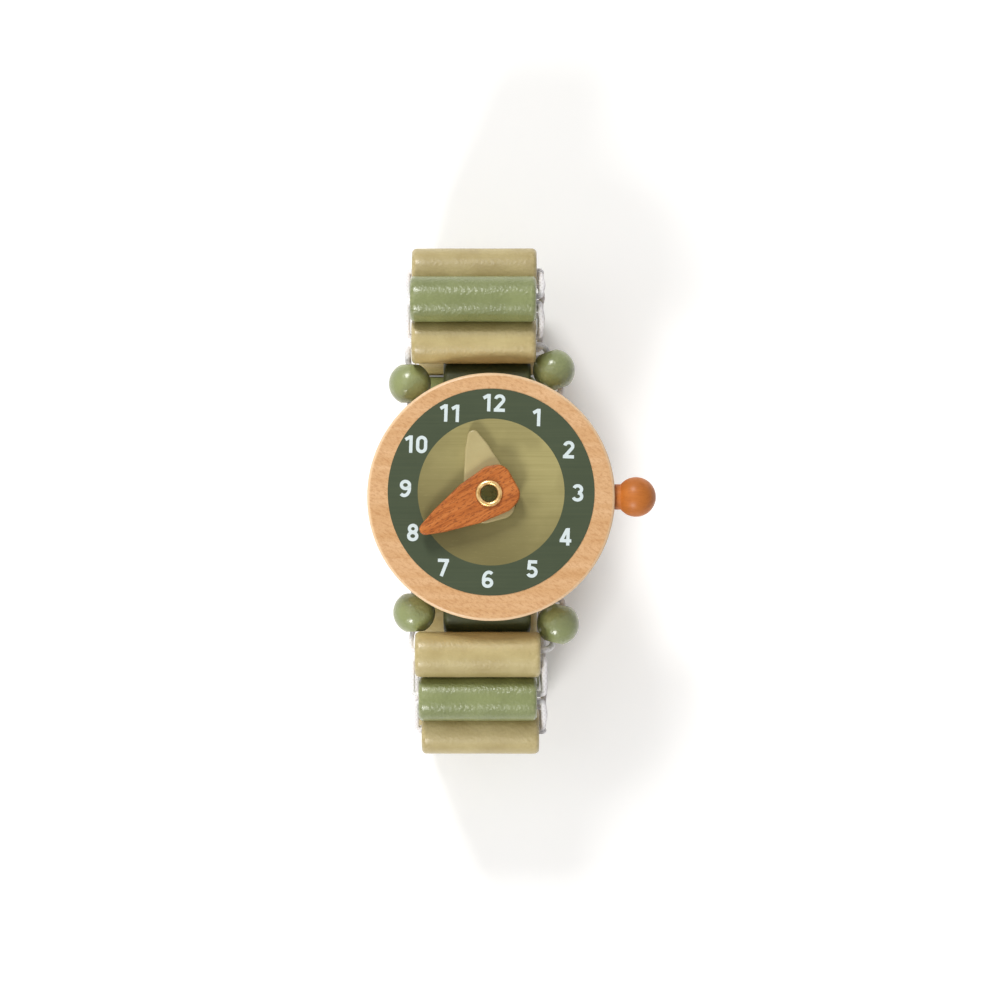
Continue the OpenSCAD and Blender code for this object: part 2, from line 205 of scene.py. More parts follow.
class ShaderDesk(NodeDesk):
    """A material's node tree, with short ways to add what the finishes share."""

    def __init__(self, name: str) -> None:
        """Starts an empty material.

        Args:
            name: The material's name.
        """
        self.material = bpy.data.materials.new(name)
        self.material.use_nodes = True
        super().__init__(self.material.node_tree)
        self.tree.nodes.clear()
        self.surface = self.put("ShaderNodeBsdfPrincipled")
        output = self.put("ShaderNodeOutputMaterial")
        self.tree.links.new(self.surface.outputs[0], output.inputs["Surface"])
        self._coordinates = self.put("ShaderNodeTexCoord")

    def place(self, stretch: Sequence[float] = (1.0, 1.0, 1.0),
              turn: Sequence[float] = (0.0, 0.0, 0.0)) -> Socket:
        """Object coordinates in millimetres, turned and stretched for a grain.

        Args:
            stretch: Scale of each axis after the turn.
            turn: Turn about each axis in radians.

        Returns:
            The vector socket.
        """
        turned = self.put("ShaderNodeMapping", {
            "Vector": self._coordinates.outputs["Object"], "Rotation": tuple(turn)})
        scaled = self.put("ShaderNodeMapping", {
            "Vector": turned.outputs[0], "Scale": tuple(s / MM for s in stretch)})
        return scaled.outputs[0]

    def noise(self, vector: Socket, scale: float, detail: float = 3.0,
              roughness: float = 0.5, distortion: float = 0.0) -> Socket:
        """Factor of a cloudy noise that is read at a vector."""
        return self.put("ShaderNodeTexNoise", {
            "Vector": vector, "Scale": scale, "Detail": detail, "Roughness": roughness,
            "Distortion": distortion}).outputs[0]

    def ramp(self, factor: Socket, stops: Sequence[tuple[float, Colour]]) -> Socket:
        """A colour ramp.

        Args:
            factor: What drives it.
            stops: Places and colours, lowest first.

        Returns:
            The colour socket.
        """
        node = self.put("ShaderNodeValToRGB", {"Fac": factor})
        elements = node.color_ramp.elements
        while len(elements) < len(stops):
            elements.new(0.5)
        for element, (place, colour) in zip(elements, stops):
            element.position = place
            element.color = (*colour, 1.0)
        return node.outputs["Color"]

    def blend(self, factor: Socket | float, first: Socket | Colour,
              second: Socket | Colour) -> Socket:
        """Mixes two colours, with the factor as the second's share."""
        return self.put("ShaderNodeMix", {0: factor, 6: first, 7: second},
                        data_type="RGBA").outputs[2]

    def bump(self, height: Socket, depth: float, strength: float = 1.0,
             under: Socket | None = None) -> Socket:
        """Relief from a height.

        Args:
            height: The height from 0 to 1.
            depth: Depth of the relief in metres.
            strength: Strength from 0 to 1.
            under: Relief that this one lies on.

        Returns:
            The normal socket.
        """
        inputs: dict[str | int, object] = {
            "Height": height, "Distance": depth, "Strength": strength}
        if under is not None:
            inputs["Normal"] = under
        return self.put("ShaderNodeBump", inputs).outputs[0]

    def finish(self, inputs: dict[str | int, object]) -> Material:
        """Feeds the surface shader.

        Args:
            inputs: Its values and sockets.

        Returns:
            The material.
        """
        for key, value in inputs.items():
            self.feed(self.surface, key, value)
        return self.material


@dataclass(frozen=True)
class BeadPaint:
    """Glossy brushed-on paint over turned wood, a little pebbly, thinner on the rims."""

    name: str
    colour: Colour
    shade: Colour
    rim: Colour
    roughness: float = 0.36
    pebble: float = 0.06 * MM
    coat: float = 0.4
    fleck: float = 2.1

    def make(self) -> Material:
        """Builds the material.

        Returns:
            The material.
        """
        desk = ShaderDesk(self.name)
        spot = desk.place()
        grain_spot = desk.place((0.12, 1.0, 1.0))
        clouds = desk.noise(spot, 0.22, 4.0, 0.55)
        grain = desk.noise(grain_spot, 2.6, 5.0, 0.62)
        specks = desk.noise(spot, 5.5, 2.0, 0.5)
        base = desk.ramp(clouds, [(0.3, self.shade), (0.72, self.colour)])
        grained = desk.blend(desk.band(grain, 0.5, 0.72, 0.0, 0.28), base, self.shade)
        speckled = desk.blend(desk.band(specks, 0.66, 0.76, 0.0, 0.35), grained, self.rim)
        rim = desk.put("ShaderNodeAttribute", attribute_name="rim").outputs["Fac"]
        worn = desk.sums("MULTIPLY", rim, desk.band(desk.noise(spot, 1.7, 4.0), 0.42, 0.62))
        colour = desk.blend(desk.sums("MULTIPLY", worn, 0.55), speckled, self.rim)
        pebbles = desk.bump(desk.noise(spot, self.fleck, 1.0, 0.4), self.pebble)
        ticks = desk.bump(desk.noise(desk.place((1.0, 0.5, 0.5)), 4.2, 2.0, 0.5),
                          0.3 * self.pebble, 0.9, pebbles)
        fibres = desk.bump(grain, 0.012 * MM, 0.7, ticks)
        return desk.finish({
            "Base Color": colour,
            "Roughness": desk.band(clouds, 0.3, 0.7, self.roughness - 0.05, self.roughness + 0.08),
            "Normal": fibres, "Coat Weight": self.coat, "Coat Roughness": 0.18,
            "Specular IOR Level": 0.36})


@dataclass(frozen=True)
class StainedWood:
    """Stained wood whose coarse darker grain runs along one way."""

    name: str
    light: Colour
    middle: Colour
    dark: Colour
    heading: float = 0.0
    streak: float = 1.3
    pore: float = 3.4
    depth: float = 0.6

    def make(self) -> Material:
        """Builds the material.

        Returns:
            The material.
        """
        desk = ShaderDesk(self.name)
        turn = (0.0, 0.0, self.heading)
        along = desk.place((0.09, 1.0, 1.0), turn)
        fine = desk.place((0.3, 1.0, 1.0), turn)
        streaks = desk.noise(along, self.streak, 6.0, 0.62, 0.25)
        pores = desk.noise(fine, self.pore, 3.0, 0.6)
        tone = desk.ramp(streaks, [(0.2, self.dark), (0.44, self.middle), (0.66, self.light)])
        colour = desk.blend(desk.band(pores, 0.52, 0.64, 0.0, self.depth), tone, self.dark)
        relief = desk.bump(desk.sums("SUBTRACT", streaks, desk.band(pores, 0.55, 0.7, 0.0, 0.4)),
                           0.04 * MM, 0.8)
        return desk.finish({
            "Base Color": colour,
            "Roughness": desk.band(streaks, 0.35, 0.65, 0.5, 0.38),
            "Normal": relief, "Coat Weight": 0.15, "Coat Roughness": 0.3,
            "Specular IOR Level": 0.22})


@dataclass(frozen=True)
class TurnedBeech:
    """Bare lacquered beech with short ray flecks, a soft ribbon of grain and a paler edge that is a
    painted highlight.
    """

    name: str
    light: Colour
    middle: Colour
    fleck: Colour
    # painted highlight along the face's rounded front edge
    edge: Colour
    fleck_turn: float = 24.0
    centre: tuple[float, float, float] = (0.3, -0.5, 0.0)
    edge_band: tuple[float, float] = (17.55, 17.8)

    def make(self) -> Material:
        """Builds the material.

        Returns:
            The material.
        """
        desk = ShaderDesk(self.name)
        grain = desk.noise(desk.place((0.05, 1.0, 0.4)), 0.9, 5.0, 0.55, 0.2)
        turn = (0.0, 0.0, math.radians(self.fleck_turn))
        flecks = desk.noise(desk.place((0.9, 2.2, 2.2), turn), 1.5, 3.0, 0.6)
        pores = desk.noise(desk.place((1.2, 3.0, 3.0), turn), 3.0, 2.0, 0.5)
        tone = desk.ramp(grain, [(0.32, self.middle), (0.66, self.light)])
        flecked = desk.blend(desk.band(flecks, 0.48, 0.66, 0.0, 0.5), tone, self.fleck)
        wood = desk.blend(desk.band(pores, 0.5, 0.7, 0.0, 0.4), flecked, self.fleck)
        spot = desk.put("ShaderNodeVectorMath", {0: desk.place(), 1: self.centre},
                        operation="SUBTRACT").outputs[0]
        flat = desk.put("ShaderNodeVectorMath", {0: spot, 1: (1.0, 1.0, 0.0)},
                        operation="MULTIPLY").outputs[0]
        reach = desk.put("ShaderNodeVectorMath", {0: flat}, operation="LENGTH").outputs["Value"]
        # painted highlight: a paler ring at the face's rounded front edge
        colour = desk.blend(desk.band(reach, *self.edge_band, 0.0, 0.75), wood, self.edge)
        return desk.finish({
            "Base Color": colour,
            "Roughness": desk.band(grain, 0.3, 0.7, 0.42, 0.5),
            "Normal": desk.bump(flecks, 0.012 * MM, 0.7), "Coat Weight": 0.2,
            "Coat Roughness": 0.2, "Specular IOR Level": 0.25})


@dataclass(frozen=True)
class DialPrint:
    """Printed paint on the wooden dial, with the wood's level grain coming through, and painted shade
    that can darken it towards the lower left.
    """

    name: str
    colour: Colour
    thin: Colour
    deep: Colour
    streak: Colour
    # painted shade: share by which the print darkens towards the lower left
    fade: float = 0.0

    def make(self) -> Material:
        """Builds the material.

        Returns:
            The material.
        """
        desk = ShaderDesk(self.name)
        grain = desk.noise(desk.place((0.05, 3.4, 1.0)), 1.1, 4.0, 0.5, 0.1)
        pores = desk.noise(desk.place((0.3, 2.6, 2.6)), 3.2, 2.0, 0.5)
        clouds = desk.noise(desk.place(), 0.16, 2.0, 0.5)
        tone = desk.ramp(grain, [(0.05, self.streak), (0.5, self.colour), (0.95, self.thin)])
        spot = desk.put("ShaderNodeSeparateXYZ", {0: desk.place((-0.6, 1.0, 1.0))})
        lower = desk.sums("SUBTRACT", spot.outputs[0], spot.outputs[1])
        # painted shade: the print darkens towards the lower left of the dial
        painted_shade_tone = desk.blend(desk.band(lower, -8.0, 9.0, 0.0, self.fade), tone, self.deep)
        shaded = desk.blend(desk.band(clouds, 0.42, 0.6, 0.0, 0.3), painted_shade_tone, self.deep)
        colour = desk.blend(desk.band(pores, 0.62, 0.74, 0.0, 0.16), shaded, self.thin)
        return desk.finish({
            "Base Color": colour,
            "Roughness": desk.band(grain, 0.3, 0.7, 0.5, 0.6),
            "Normal": desk.bump(grain, 0.01 * MM, 0.7), "Specular IOR Level": 0.22})


@dataclass(frozen=True)
class NumberPaint:
    """White printed numbers, a little worn by the grain beneath."""

    name: str
    colour: Colour
    worn: Colour

    def make(self) -> Material:
        """Builds the material.

        Returns:
            The material.
        """
        desk = ShaderDesk(self.name)
        grain = desk.noise(desk.place((0.25, 2.0, 1.0)), 1.6, 4.0, 0.6)
        colour = desk.blend(desk.band(grain, 0.56, 0.72, 0.0, 0.5), self.colour, self.worn)
        return desk.finish({
            "Base Color": colour, "Roughness": 0.5, "Specular IOR Level": 0.22,
            "Normal": desk.bump(grain, 0.01 * MM, 0.7)})


@dataclass(frozen=True)
class StampedBrass:
    """Bright pressed brass with fine turning lines and a few dull places."""

    name: str
    bright: Colour
    dull: Colour

    def make(self) -> Material:
        """Builds the material.

        Returns:
            The material.
        """
        desk = ShaderDesk(self.name)
        spot = desk.place()
        clouds = desk.noise(spot, 0.9, 4.0, 0.6)
        lines = desk.noise(desk.place((0.4, 0.4, 6.0)), 2.5, 3.0, 0.6)
        colour = desk.ramp(clouds, [(0.35, self.dull), (0.6, self.bright)])
        return desk.finish({
            "Base Color": colour, "Metallic": 1.0,
            "Roughness": desk.band(clouds, 0.3, 0.7, 0.36, 0.22),
            "Normal": desk.bump(lines, 0.008 * MM, 0.6)})


@dataclass(frozen=True)
class BraidedCord:
    """White braided elastic on the cord's own UV map: turns round it, and millimetres along."""

    name: str
    thread: Colour
    # painted shade in the grooves between the braid's threads
    groove: Colour

    def make(self) -> Material:
        """Builds the material.

        Returns:
            The material.
        """
        desk = ShaderDesk(self.name)
        uv = desk.put("ShaderNodeUVMap", uv_map="cord")
        parts = desk.put("ShaderNodeSeparateXYZ", {0: uv.outputs[0]})
        around = desk.sums("MULTIPLY", parts.outputs[0], BRAID_CARRIERS)
        along = desk.sums("MULTIPLY", parts.outputs[1], BRAID_LAY)
        waves = [desk.sums("ABSOLUTE", desk.sums("SINE", desk.sums(
            "MULTIPLY", desk.sums(way, around, along), math.pi))) for way in ("ADD", "SUBTRACT")]
        weave = desk.sums("MAXIMUM", *waves)
        fibres = desk.noise(desk.put("ShaderNodeMapping", {
            "Vector": uv.outputs[0], "Scale": (30.0, 4.0, 1.0)}).outputs[0], 3.0, 3.0, 0.6)
        height = desk.sums("ADD", weave, desk.sums("MULTIPLY", fibres, 0.25))
        # painted shade: the grooves between the threads are darker
        colour = desk.ramp(weave, [(0.55, self.groove), (0.9, self.thread)])
        return desk.finish({
            "Base Color": colour, "Roughness": 0.82, "Sheen Weight": 0.25,
            "Sheen Roughness": 0.5, "Normal": desk.bump(height, 0.016 * MM, 0.7)})


class Finishes:
    """Every finish of the watch, built once."""

    def __init__(self) -> None:
        """Builds the materials."""
        self.bead = {
            PaintColour.KHAKI: BeadPaint(
                "khaki_bead_paint", srgb(187, 171, 120), srgb(167, 149, 98),
                srgb(206, 190, 144), roughness=0.42, coat=0.32).make(),
            PaintColour.SAGE: BeadPaint(
                "sage_bead_paint", srgb(132, 140, 88), srgb(116, 124, 74),
                srgb(156, 161, 115), roughness=0.32, pebble=0.09 * MM, coat=0.55).make(),
            # painted light: the sage made lighter on the balls stands for more light falling on them
            PaintColour.BALL: BeadPaint(
                "sage_ball_paint_painted_light", srgb(144, 152, 100), srgb(128, 136, 86),
                srgb(170, 175, 132), roughness=0.32, pebble=0.09 * MM, coat=0.55).make(),
            # painted shade: the sage made dark on the lug bars stands for the deep shade under the
            # face
            PaintColour.DEEP: BeadPaint(
                "painted_shade_sage_bar_paint", srgb(66, 70, 34), srgb(50, 53, 24), srgb(84, 90, 50),
                roughness=0.6, coat=0.05).make()}
        self.hour = BeadPaint(
            "khaki_hand_paint", srgb(175, 161, 112), srgb(165, 150, 101), srgb(187, 175, 130),
            roughness=0.5, pebble=0.012 * MM).make()
        self.minute = StainedWood(
            "orange_hand_stain", srgb(194, 116, 56), srgb(174, 96, 38), srgb(120, 58, 14),
            math.radians(MINUTE_HEADING - 90), streak=2.1, pore=4.6, depth=0.8).make()
        self.crown = StainedWood(
            "orange_crown_stain", srgb(194, 115, 48), srgb(186, 108, 43), srgb(168, 92, 34),
            streak=0.8, depth=0.35).make()
        # the last colour is the painted highlight at the face's edge
        self.beech = TurnedBeech(
            "lacquered_beech", srgb(217, 175, 130), srgb(204, 158, 109), srgb(176, 122, 71),
            srgb(244, 212, 172)).make()
        self.ring = DialPrint(
            "dark_ring_print", srgb(66, 75, 55), srgb(75, 82, 59), srgb(59, 68, 48),
            srgb(60, 69, 49)).make()
        # the middle print gets painted shade towards its lower left
        self.middle = DialPrint(
            "olive_middle_print", srgb(160, 150, 99), srgb(169, 158, 108),
            srgb(108, 100, 60), srgb(140, 131, 83), fade=0.88).make()
        self.numbers = NumberPaint("number_paint", srgb(206, 217, 217), srgb(172, 182, 177)).make()
        self.brass = StampedBrass("pressed_brass", srgb(232, 198, 140), srgb(176, 136, 78)).make()
        # the second colour is the painted shade of the braid's grooves
        self.elastic = BraidedCord(
            "braided_elastic", srgb(243, 240, 241), srgb(230, 226, 225)).make()


def new_piece(name: str, mesh: Shape, finish: Material, smooth_angle: float = 40.0) -> Piece:
    """Makes a finished bmesh an object at the origin.

    Args:
        name: The piece's name.
        mesh: The shape, in metres and in place. It is freed.
        finish: The material.
        smooth_angle: Edges sharper than this, in degrees, stay sharp.

    Returns:
        The object.
    """
    bmesh.ops.recalc_face_normals(mesh, faces=mesh.faces)
    for face in mesh.faces:
        face.smooth = True
    for edge in mesh.edges:
        if len(edge.link_faces) == 2:
            edge.smooth = edge.calc_face_angle(0.0) < math.radians(smooth_angle)
    data = bpy.data.meshes.new(name)
    mesh.to_mesh(data)
    mesh.free()
    data.materials.append(finish)
    piece = bpy.data.objects.new(name, data)
    bpy.context.scene.collection.objects.link(piece)
    log.info("made %s", name)
    return piece


def dress_node(node: str, finish: Material) -> None:
    """Gives a node of the construction model a finish.

    Args:
        node: The node's name.
        finish: The material.
    """
    piece = frame["nodes"][node]
    piece.data.materials.clear()
    piece.data.materials.append(finish)
    log.info("dressed %s", node)


def round_edges(mesh: Shape, edges: list[bmesh.types.BMEdge], offset: float, segments: int) -> None:
    """Rounds edges by an offset in metres, in a number of segments."""
    bmesh.ops.bevel(mesh, geom=edges, offset=offset, affect="EDGES", segments=segments,
                    profile=0.5, material=-1)


def only(geom: Iterable[object], kind: type) -> list:
    """The parts of an operator's result that are of one kind, such as its vertices."""
    return [part for part in geom if isinstance(part, kind)]


@dataclass
class Turned:
    """A turned wooden bead with a bore: a tube, or a ball cut flat at the bore's mouths."""

    node: str
    body: str
    paint: PaintColour
    bore_radius: float = 1.2 * MM
    rim_round: float = 0.7 * MM
    mouth_round: float = 0.2 * MM

    @cached_property
    def corners(self) -> tuple[Vector, Vector]:
        """Lowest and highest corner of the node."""
        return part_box(self.node)

    @cached_property
    def centre(self) -> Vector:
        """Middle of the bead."""
        return (self.corners[0] + self.corners[1]) / 2

    @cached_property
    def length(self) -> float:
        """Length of a tube bead along X."""
        return self.corners[1].x - self.corners[0].x

    @cached_property
    def radius(self) -> float:
        """Radius of the bead."""
        return (self.corners[1].z - self.corners[0].z) / 2

    @property
    def half_length(self) -> float:
        """Distance from the middle to a mouth."""
        return self.length / 2

    @property
    def way(self) -> Vector:
        """Way of the bore."""
        return X_WAY

    def mouth(self, side: int) -> float:
        """X of a tube bead's mouth on a side, 1 for the crown's and -1 for the other."""
        return self.centre.x + side * self.half_length

    def on_axis(self, x: float) -> Vector:
        """Point of a tube bead's axis at an x."""
        return Vector((x, self.centre.y, self.centre.z))

    def hollow(self, mesh: Shape) -> None:
        """Cuts the bore between two flat ends that lie across Z.

        Args:
            mesh: A closed shape whose flat ends are single faces.
        """
        ends = [f for f in mesh.faces if abs(abs(f.normal.z) - 1) < 1e-4
                and abs(abs(f.calc_center_median().z) - self.half_length) < CLOSE]
        end_radius = max(v.co.xy.length for v in ends[0].verts)
        bmesh.ops.inset_individual(mesh, faces=ends, thickness=end_radius - self.bore_radius,
                                   use_even_offset=True)
        rims = [e for f in ends for e in f.edges]
        bmesh.ops.delete(mesh, geom=ends, context="FACES_ONLY")
        bmesh.ops.bridge_loops(mesh, edges=rims)
        mouths = [e for e in mesh.edges
                  if all(abs(v.co.xy.length - self.bore_radius) < CLOSE
                         and abs(abs(v.co.z) - self.half_length) < CLOSE for v in e.verts)]
        round_edges(mesh, mouths, self.mouth_round, 3)

    def mark_rims(self, mesh: Shape) -> None:
        """Marks the rims, where the paint is thin.

        Args:
            mesh: The bead, its bore along Z.
        """
        rim = mesh.verts.layers.float.new("rim")
        fade = max(2 * self.rim_round, 5 * self.mouth_round)
        for vert in mesh.verts:
            vert[rim] = min(1.0, max(0.0, 1 - (self.half_length - abs(vert.co.z)) / fade))

    def turn_wood(self) -> Shape:
        """The hollow bead about the origin, its bore along Z. Each kind of bead has its own."""
        raise NotImplementedError

    def build(self, finishes: Finishes) -> None:
        """Makes the bead a piece that stands for its node.

        Args:
            finishes: The finishes.
        """
        mesh = self.turn_wood()
        self.mark_rims(mesh)
        turn = Z_WAY.rotation_difference(self.way).to_matrix().to_4x4()
        bmesh.ops.transform(mesh, matrix=Matrix.Translation(self.centre) @ turn, verts=mesh.verts)
        piece = new_piece(f"{self.node}_painted", mesh, finishes.bead[self.paint], 60.0)
        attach(piece, self.body)
        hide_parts(self.node)


@dataclass
class TubeBead(Turned):
    """A tube bead with rounded rims, sanded by hand so that it is never quite true."""

    seed: int = 0
    facets: int = 64
    rings: int = 14
    sanding: float = 0.012

    def turn_wood(self) -> Shape:
        """Turns, rounds, bores and sands the tube.

        Returns:
            The shape.
        """
        mesh = bmesh.new()
        bmesh.ops.create_cone(mesh, cap_ends=True, cap_tris=False, segments=self.facets,
                              radius1=self.radius, radius2=self.radius, depth=self.length)
        rims = [e for e in mesh.edges if abs(e.verts[0].co.z - e.verts[1].co.z) < CLOSE]
        round_edges(mesh, rims, self.rim_round, 6)
        self.hollow(mesh)
        for ring in range(1, self.rings):
            height = (2 * ring / self.rings - 1) * (self.half_length - self.rim_round)
            bmesh.ops.bisect_plane(mesh, geom=mesh.verts[:] + mesh.edges[:] + mesh.faces[:],
                                   plane_co=(0.0, 0.0, height), plane_no=Z_WAY)
        self.sand(mesh)
        return mesh

    def sand(self, mesh: Shape) -> None:
        """Sands the outside a few hundredths below the true round, and leaves the bore.

        Args:
            mesh: The bead, its bore along Z.
        """
        chance = random.Random(self.seed)
        lobes = [(chance.uniform(0, math.tau), chance.uniform(0, math.tau)) for _ in range(3)]
        for vert in mesh.verts:
            if vert.co.xy.length < 1.2 * self.bore_radius:
                continue
            angle = math.atan2(vert.co.y, vert.co.x)
            along = vert.co.z / self.length
            dip = sum(math.sin((k + 1) * angle + a + 4 * along * (k + 1) + b)
                      for k, (a, b) in enumerate(lobes)) / 6 - 0.5
            # dip lies between -1 and 0, so the outside never passes the true round
            vert.co.xy *= 1 + self.sanding * dip


@dataclass
class BallBead(Turned):
    """A ball bead that turns on the elastic."""

    bore_radius: float = 1.15 * MM
    rim_round: float = 0.0
    mouth_round: float = 0.12 * MM
    facets: int = 48
    rows: int = 32
    flat_share: float = 0.903

    @cached_property
    def way(self) -> Vector:
        """Way of the bore, out towards the strap."""
        joint = next(j for j in frame["joints"] if j["child"] == self.body)
        return Vector(joint["axis"]).normalized()

    @property
    def half_length(self) -> float:
        """Distance from the middle to a mouth, by the share that the flats leave of the ball."""
        return self.flat_share * self.radius

    def turn_wood(self) -> Shape:
        """Cuts a ball flat at the mouths and bores it.

        Returns:
            The shape.
        """
        mesh = bmesh.new()
        bmesh.ops.create_uvsphere(mesh, u_segments=self.facets, v_segments=self.rows,
                                  radius=self.radius)
        for side in (-1, 1):
            cut = bmesh.ops.bisect_plane(
                mesh, geom=mesh.verts[:] + mesh.edges[:] + mesh.faces[:], clear_outer=True,
                plane_co=(0.0, 0.0, side * self.half_length), plane_no=side * Z_WAY)
            bmesh.ops.contextual_create(mesh, geom=only(cut["geom_cut"], bmesh.types.BMEdge))
        bmesh.ops.recalc_face_normals(mesh, faces=mesh.faces)
        self.hollow(mesh)
        return mesh


@dataclass
class WoodenHand:
    """A flat wooden hand with softened edges: a blunt end, a bulge and a long tip."""

    node: str
    reach: float
    half_width: float
    heading: float
    tail: float = 4.1 * MM
    tip_radius: float = 0.88 * MM
    corner_radius: float = 2.0 * MM
    bore_radius: float = 1.5 * MM
    edge_round: float = 0.28 * MM

    def discs(self) -> list[tuple[float, float, float]]:
        """Discs whose hull is the outline.

        Returns:
            The x, y and radius of each.
        """
        corner = (self.corner_radius - self.tail, 0.92 * self.half_width - self.corner_radius)
        bulges = ((0.7 * self.reach, 0.5, 0.3), (0.24 * self.reach, 0.88, 0.6),
                  (-0.3 * self.tail, 1.0, 0.63))
        discs = [(self.reach - self.tip_radius, 0.0, self.tip_radius)]
        for side in (-1, 1):
            discs.append((corner[0], side * corner[1], self.corner_radius))
            discs += [(x, side * (out - radius) * self.half_width, radius * self.half_width)
                      for x, out, radius in bulges]
        return discs

    def build(self, finish: Material, slot: str) -> None:
        """Makes the hand.

        Args:
            finish: The material.
            slot: The record's slot for it. Not used.
        """
        low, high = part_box(self.node)
        thickness = high.z - low.z
        mesh = bmesh.new()
        for x, y, radius in self.discs():
            bmesh.ops.create_cone(mesh, cap_ends=True, segments=72, radius1=radius,
                                  radius2=radius, depth=thickness,
                                  matrix=Matrix.Translation((x, y, 0.0)))
        hull = bmesh.ops.convex_hull(mesh, input=mesh.verts)
        spare = {g for key in ("geom_interior", "geom_unused") for g in hull[key]}
        bmesh.ops.delete(mesh, geom=only(spare, bmesh.types.BMVert), context="VERTS")
        kept = {g for g in hull["geom"] if isinstance(g, bmesh.types.BMFace) and g.is_valid}
        bmesh.ops.delete(mesh, geom=[f for f in mesh.faces if f not in kept],
                         context="FACES_ONLY")
        bmesh.ops.dissolve_limit(mesh, angle_limit=math.radians(0.5), verts=mesh.verts,
                                 edges=mesh.edges, delimit=set())
        self.drill(mesh, thickness)
        place = (Matrix.Translation((0.0, 0.0, (low.z + high.z) / 2))
                 @ Matrix.Rotation(math.radians(90 - self.heading), 4, "Z"))
        bmesh.ops.transform(mesh, matrix=place, verts=mesh.verts)
        piece = new_piece(f"{self.node}_shaped", mesh, finish)
        for polygon in piece.data.polygons:
            polygon.use_smooth = abs(polygon.normal.z) < 0.999
        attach(piece, self.node)
        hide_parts(self.node)

    def drill(self, mesh: Shape, thickness: float) -> None:
        """Opens the hole for the rivet and softens the edges.

        Args:
            mesh: The closed hull, level about the origin.
            thickness: Its thickness.
        """
        holes: list[bmesh.types.BMEdge] = []
        for side in (-1, 1):
            caps = [f for f in mesh.faces if f.normal.z * side > 0.99]
            outer = {e for f in caps for e in f.edges}
            bmesh.ops.delete(mesh, geom=caps, context="FACES_ONLY")
            circle = bmesh.ops.create_circle(
                mesh, segments=48, radius=self.bore_radius,
                matrix=Matrix.Translation((0.0, 0.0, side * thickness / 2)))
            inner = list({e for v in circle["verts"] for e in v.link_edges})
            holes += inner
            rim = [e for e in outer if e.is_valid and e.link_faces]
            bmesh.ops.triangle_fill(mesh, edges=rim + inner, use_beauty=True,
                                    normal=(0.0, 0.0, side))
        bmesh.ops.bridge_loops(mesh, edges=holes)
        bmesh.ops.recalc_face_normals(mesh, faces=mesh.faces)
        outer_top = [e for e in mesh.edges
                     if all(abs(v.co.z - thickness / 2) < CLOSE
                            and v.co.xy.length > self.bore_radius + CLOSE for v in e.verts)
                     and abs(e.calc_face_angle(0.0) - math.pi / 2) < 0.2]
        round_edges(mesh, outer_top, self.edge_round, 6)


def bow(x: float, y: float, across: float, up: float, start: float,
        stop: float) -> list[Vector]:
    """A bowed stroke of a numeral.

    Args:
        x: Its middle, in numeral heights.
        y: Height of its middle.
        across: Its half-width.
        up: Its half-height.
        start: Angle where it starts, in degrees.
        stop: Angle where it stops.

    Returns:
        The points of its middle line.
    """
    steps = max(4, round(abs(stop - start) / 12))
    angles = [math.radians(start + (stop - start) * k / steps) for k in range(steps + 1)]
    return [Vector((x + across * math.cos(a), y + up * math.sin(a))) for a in angles]


def straight(*ends: tuple[float, float]) -> list[Vector]:
    """Middle line of a straight stroke of a numeral, through points in numeral heights."""
    return [Vector(end) for end in ends]


